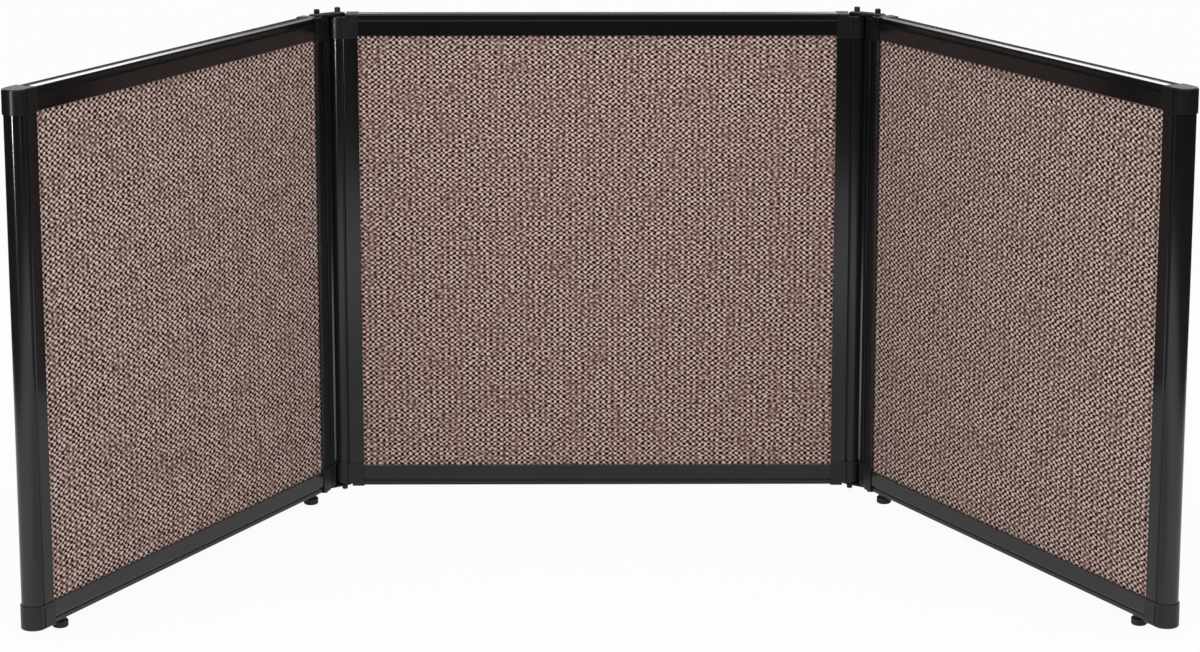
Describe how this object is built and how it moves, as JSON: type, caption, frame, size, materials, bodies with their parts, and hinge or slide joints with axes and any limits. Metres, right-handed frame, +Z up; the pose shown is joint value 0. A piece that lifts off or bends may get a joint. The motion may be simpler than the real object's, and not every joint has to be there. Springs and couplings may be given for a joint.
{
  "type": "folding tabletop divider",
  "caption": "Low folding screen for a table: framed fabric panels joined by double-pivot hinges, with round-nosed posts, moulded corner caps and small feet.",
  "frame": {"origin": "on the table under the middle of the whole divider as it stands folded in the picture", "axes": "+X to the right along the middle panel as seen from its front, +Y towards its back, +Z up"},
  "size_m": [1.2584, 0.6114, 0.6115],
  "materials": {
    "frame": "satin black coating",
    "corner_cap": "fine matt moulding",
    "link_plate": "satin black coating",
    "pin": "black oxide",
    "bearing": "smooth moulding",
    "core_board": "raw fibreboard",
    "woven_fabric": "coarse two-tone weave",
    "foot": "matt",
    "screw": "plain"
  },
  "bodies": {
    "middle_panel": {"middle_back_fabric": "woven_fabric", "middle_bottom_left_cap": "corner_cap", "middle_bottom_rail": "frame", "middle_bottom_right_cap": "corner_cap", "middle_core": "core_board", "middle_front_fabric": "woven_fabric", "middle_left_hinge_pins": "pin", "middle_left_post": "frame", "middle_right_hinge_pins": "pin", "middle_right_post": "frame", "middle_top_left_cap": "corner_cap", "middle_top_rail": "frame", "middle_top_right_cap": "corner_cap"},
    "left_link": {"left_hinge_bottom_link": "link_plate", "left_hinge_bushes": "bearing", "left_hinge_top_link": "link_plate", "left_hinge_washers": "bearing"},
    "left_wing": {"left_wing_back_fabric": "woven_fabric", "left_wing_bottom_end_cap": "corner_cap", "left_wing_bottom_hinge_cap": "corner_cap", "left_wing_bottom_rail": "frame", "left_wing_core": "core_board", "left_wing_end_foot": "foot", "left_wing_end_post": "frame", "left_wing_foot_screws": "screw", "left_wing_front_fabric": "woven_fabric", "left_wing_hinge_foot": "foot", "left_wing_hinge_pins": "pin", "left_wing_hinge_post": "frame", "left_wing_top_end_cap": "corner_cap", "left_wing_top_hinge_cap": "corner_cap", "left_wing_top_rail": "frame"},
    "right_link": {"right_hinge_bottom_link": "link_plate", "right_hinge_bushes": "bearing", "right_hinge_top_link": "link_plate", "right_hinge_washers": "bearing"},
    "right_wing": {"right_wing_back_fabric": "woven_fabric", "right_wing_bottom_end_cap": "corner_cap", "right_wing_bottom_hinge_cap": "corner_cap", "right_wing_bottom_rail": "frame", "right_wing_core": "core_board", "right_wing_end_foot": "foot", "right_wing_end_post": "frame", "right_wing_foot_screws": "screw", "right_wing_front_fabric": "woven_fabric", "right_wing_hinge_foot": "foot", "right_wing_hinge_pins": "pin", "right_wing_hinge_post": "frame", "right_wing_top_end_cap": "corner_cap", "right_wing_top_hinge_cap": "corner_cap", "right_wing_top_rail": "frame"}
  },
  "joints": [
    {"name": "left_link_turn", "type": "hinge", "parent": "middle_panel", "child": "left_link", "pos_m": [-0.316, 0.2915, 0.3], "axis": [0, 0, 1], "range_deg": [-76, 52]},
    {"name": "left_wing_turn", "type": "hinge", "parent": "left_link", "child": "left_wing", "pos_m": [-0.33964, 0.27303, 0.3], "axis": [0, 0, 1], "range_deg": [-66, 64]},
    {"name": "right_link_turn", "type": "hinge", "parent": "middle_panel", "child": "right_link", "pos_m": [0.316, 0.2915, 0.3], "axis": [0, 0, 1], "range_deg": [0, 128]},
    {"name": "right_wing_turn", "type": "hinge", "parent": "right_link", "child": "right_wing", "pos_m": [0.33964, 0.27303, 0.3], "axis": [0, 0, 1], "range_deg": [-14, 116]}
  ]
}
